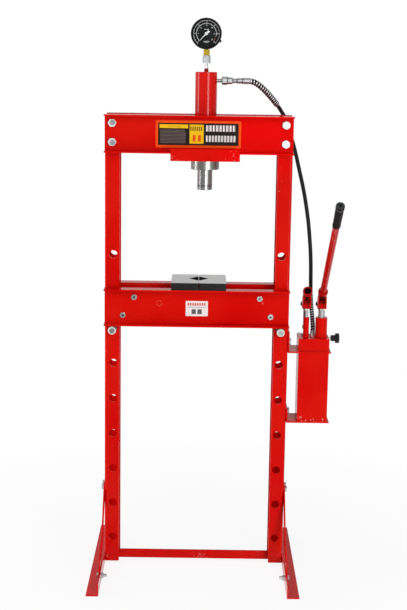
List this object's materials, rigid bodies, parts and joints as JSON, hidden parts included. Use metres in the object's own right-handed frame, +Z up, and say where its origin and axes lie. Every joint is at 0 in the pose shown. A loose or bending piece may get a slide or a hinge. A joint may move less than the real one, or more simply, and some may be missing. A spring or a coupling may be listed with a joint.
{
  "type": "hydraulic press",
  "caption": "Red floor-standing H-frame hydraulic press with a pin-set bed, split press plates, ram with gauge, and a side-mounted lever pump joined by a hose.",
  "frame": {"origin": "on the floor, midway between the two posts and at the middle of their depth", "axes": "+X to the right along the beams, towards the pump; +Y to the rear; +Z up"},
  "size_m": [0.813, 0.7645, 1.813],
  "materials": {
    "painted_red": "glossy bright red paint",
    "painted_dark_red": "glossy dark red paint",
    "zinc_plated": "bright zinc plating",
    "chrome": "ground and plated",
    "bare_steel": "bare",
    "dark_steel": "dark oxide",
    "brass": "turned",
    "black_paint": "satin black paint",
    "white_paint": "white paint",
    "clear_glass": "clear",
    "black_rubber": "satin",
    "black_plastic": "satin"
  },
  "bodies": {
    "frame": {"post_left": "painted_red", "post_right": "painted_red", "top_beam_front": "painted_red", "top_beam_rear": "painted_red", "cross_member": "painted_red", "foot_left": "painted_red", "foot_right": "painted_red", "foot_braces": "painted_red", "beam_bolts": "zinc_plated", "side_bolts": "zinc_plated", "frame_nuts": "zinc_plated", "ram_saddle": "painted_red", "cylinder": "painted_red", "cylinder_gland": "bare_steel", "ring_nut": "zinc_plated", "gauge_adaptor": "painted_dark_red", "gauge_pipe": "zinc_plated", "gauge_nut": "zinc_plated", "gauge_stem": "brass", "gauge_case": "black_paint", "gauge_dial": "black_paint", "gauge_glass": "clear_glass", "hose_nipple": "zinc_plated", "hose_union_nut": "zinc_plated", "hose_ferrule": "zinc_plated", "hose": "black_rubber", "hose_guard_upper": "bare_steel", "hose_guard_lower": "bare_steel", "hose_fitting_lower": "zinc_plated", "pump_bracket_upper": "painted_red", "pump_bracket_lower": "painted_red", "oil_tank": "painted_red", "pump_head": "painted_red", "filler_plug": "zinc_plated", "barrel_small": "painted_red", "barrel_large": "painted_red", "fulcrum_links": "dark_steel", "lever_pins": "dark_steel", "return_spring": "bare_steel"},
    "ram": {"ram": "chrome", "ram_nose": "chrome", "piston_seal": "black_rubber"},
    "bed": {"bed_beam_front": "painted_red", "bed_beam_rear": "painted_red", "bed_tie_bolts": "zinc_plated", "bed_tie_nuts": "zinc_plated", "bed_spacers": "painted_red", "press_plate_left": "dark_steel", "press_plate_right": "dark_steel"},
    "bed_pin_left": {"bed_pin_left": "zinc_plated"},
    "bed_pin_right": {"bed_pin_right": "zinc_plated"},
    "lever_large": {"lever_large": "painted_red"},
    "handle": {"handle": "painted_red", "handle_grip": "black_rubber"},
    "lever_small": {"lever_small": "painted_red"},
    "plunger_large": {"plunger_large": "chrome"},
    "plunger_small": {"plunger_small": "chrome"},
    "release_valve": {"valve_stem": "bare_steel", "valve_knob": "black_plastic"},
    "gauge_needle": {"gauge_needle": "white_paint"}
  },
  "joints": [
    {"name": "ram_slide", "type": "slide", "parent": "frame", "child": "ram", "axis": [0, 0, -1], "range_m": [0, 0.15], "stiffness_N_per_m": 600, "springref_m": -0.25, "deforming": ["return_spring"]},
    {"name": "bed_lift", "type": "slide", "parent": "frame", "child": "bed", "axis": [0, 0, 1], "range_m": [0, 0.12]},
    {"name": "bed_pin_left_slide", "type": "slide", "parent": "frame", "child": "bed_pin_left", "axis": [0, -1, 0], "range_m": [0, 0.21]},
    {"name": "bed_pin_right_slide", "type": "slide", "parent": "frame", "child": "bed_pin_right", "axis": [0, -1, 0], "range_m": [0, 0.21]},
    {"name": "lever_large_swing", "type": "hinge", "parent": "frame", "child": "lever_large", "pos_m": [0.411, 0.034, 0.892], "axis": [1, 0, 0], "range_deg": [-28, 25]},
    {"name": "handle_pull", "type": "slide", "parent": "lever_large", "child": "handle", "axis": [0, -0.788, 0.6157], "range_m": [0, 0.07]},
    {"name": "lever_small_swing", "type": "hinge", "parent": "frame", "child": "lever_small", "pos_m": [0.361, 0.034, 0.892], "axis": [1, 0, 0], "range_deg": [-28, 25]},
    {"name": "plunger_large_slide", "type": "slide", "parent": "frame", "child": "plunger_large", "axis": [0, 0, -1], "range_m": [-0.0168, 0.015]},
    {"name": "plunger_small_slide", "type": "slide", "parent": "frame", "child": "plunger_small", "axis": [0, 0, -1], "range_m": [-0.0168, 0.015]},
    {"name": "release_valve_turn", "type": "hinge", "parent": "frame", "child": "release_valve", "pos_m": [0.461, 0.015, 0.781], "axis": [1, 0, 0], "range_deg": [0, 270]},
    {"name": "gauge_needle_turn", "type": "hinge", "parent": "frame", "child": "gauge_needle", "pos_m": [0.02, 0, 1.764], "axis": [0.1392, 0.9903, 0], "range_deg": [0, 270], "stiffness_Nm_per_rad": 0.002, "springref_deg": -28.65}
  ],
  "couplings": [
    {"joint": "plunger_large_slide", "follows": "lever_large_swing", "m_per_rad": 0.034},
    {"joint": "plunger_small_slide", "follows": "lever_small_swing", "m_per_rad": 0.034}
  ]
}
